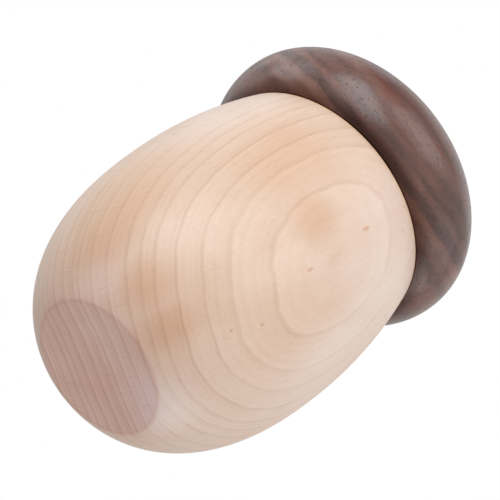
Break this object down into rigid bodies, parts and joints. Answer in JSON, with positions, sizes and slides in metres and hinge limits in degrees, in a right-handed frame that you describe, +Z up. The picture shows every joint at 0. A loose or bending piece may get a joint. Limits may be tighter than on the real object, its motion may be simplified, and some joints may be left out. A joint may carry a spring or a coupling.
{
  "type": "egg shaker",
  "caption": "Acorn-shaped turned wooden shaker: a pale hollow nut with a flat foot, a dark rounded cap, and loose steel shot in the chamber.",
  "frame": {"origin": "centre of the flat foot that the shaker stands on", "axes": "+Z up the turning axis, from the foot to the crown of the cap; +X and +Y are any two level directions, because the shape is turned"},
  "size_m": [0.0474, 0.0474, 0.0718],
  "materials": {
    "maple": "fine satin oil finish on pale close-grained wood",
    "walnut": "satin oil finish on dark open-grained wood",
    "steel_shot": "plain bright steel balls"
  },
  "bodies": {
    "shell": {"nut_shell": "maple", "cap": "walnut"},
    "shot_01": {"shot_01": "steel_shot"},
    "shot_02": {"shot_02": "steel_shot"},
    "shot_03": {"shot_03": "steel_shot"},
    "shot_04": {"shot_04": "steel_shot"},
    "shot_05": {"shot_05": "steel_shot"},
    "shot_06": {"shot_06": "steel_shot"},
    "shot_07": {"shot_07": "steel_shot"},
    "shot_08": {"shot_08": "steel_shot"},
    "shot_09": {"shot_09": "steel_shot"},
    "shot_10": {"shot_10": "steel_shot"},
    "shot_11": {"shot_11": "steel_shot"},
    "shot_12": {"shot_12": "steel_shot"},
    "shot_13": {"shot_13": "steel_shot"},
    "shot_14": {"shot_14": "steel_shot"},
    "shot_15": {"shot_15": "steel_shot"},
    "shot_16": {"shot_16": "steel_shot"},
    "shot_17": {"shot_17": "steel_shot"},
    "shot_18": {"shot_18": "steel_shot"},
    "shot_19": {"shot_19": "steel_shot"}
  },
  "joints": [
    {"name": "shot_01_rattle", "type": "slide", "parent": "shell", "child": "shot_01", "axis": [0, 0, 1], "range_m": [0, 0.0276]},
    {"name": "shot_02_rattle", "type": "slide", "parent": "shell", "child": "shot_02", "axis": [0, 0, 1], "range_m": [0, 0.0276]},
    {"name": "shot_03_rattle", "type": "slide", "parent": "shell", "child": "shot_03", "axis": [0, 0, 1], "range_m": [0, 0.0276]},
    {"name": "shot_04_rattle", "type": "slide", "parent": "shell", "child": "shot_04", "axis": [0, 0, 1], "range_m": [0, 0.0276]},
    {"name": "shot_05_rattle", "type": "slide", "parent": "shell", "child": "shot_05", "axis": [0, 0, 1], "range_m": [0, 0.0276]},
    {"name": "shot_06_rattle", "type": "slide", "parent": "shell", "child": "shot_06", "axis": [0, 0, 1], "range_m": [0, 0.0276]},
    {"name": "shot_07_rattle", "type": "slide", "parent": "shell", "child": "shot_07", "axis": [0, 0, 1], "range_m": [0, 0.0276]},
    {"name": "shot_08_rattle", "type": "slide", "parent": "shell", "child": "shot_08", "axis": [0, 0, 1], "range_m": [0, 0.0276]},
    {"name": "shot_09_rattle", "type": "slide", "parent": "shell", "child": "shot_09", "axis": [0, 0, 1], "range_m": [0, 0.0276]},
    {"name": "shot_10_rattle", "type": "slide", "parent": "shell", "child": "shot_10", "axis": [0, 0, 1], "range_m": [0, 0.0276]},
    {"name": "shot_11_rattle", "type": "slide", "parent": "shell", "child": "shot_11", "axis": [0, 0, 1], "range_m": [0, 0.0276]},
    {"name": "shot_12_rattle", "type": "slide", "parent": "shell", "child": "shot_12", "axis": [0, 0, 1], "range_m": [0, 0.0276]},
    {"name": "shot_13_rattle", "type": "slide", "parent": "shell", "child": "shot_13", "axis": [0, 0, 1], "range_m": [0, 0.0276]},
    {"name": "shot_14_rattle", "type": "slide", "parent": "shell", "child": "shot_14", "axis": [0, 0, 1], "range_m": [0, 0.0276]},
    {"name": "shot_15_rattle", "type": "slide", "parent": "shell", "child": "shot_15", "axis": [0, 0, 1], "range_m": [0, 0.0276]},
    {"name": "shot_16_rattle", "type": "slide", "parent": "shell", "child": "shot_16", "axis": [0, 0, 1], "range_m": [0, 0.0276]},
    {"name": "shot_17_rattle", "type": "slide", "parent": "shell", "child": "shot_17", "axis": [0, 0, 1], "range_m": [0, 0.0276]},
    {"name": "shot_18_rattle", "type": "slide", "parent": "shell", "child": "shot_18", "axis": [0, 0, 1], "range_m": [0, 0.0276]},
    {"name": "shot_19_rattle", "type": "slide", "parent": "shell", "child": "shot_19", "axis": [0, 0, 1], "range_m": [0, 0.0276]}
  ]
}
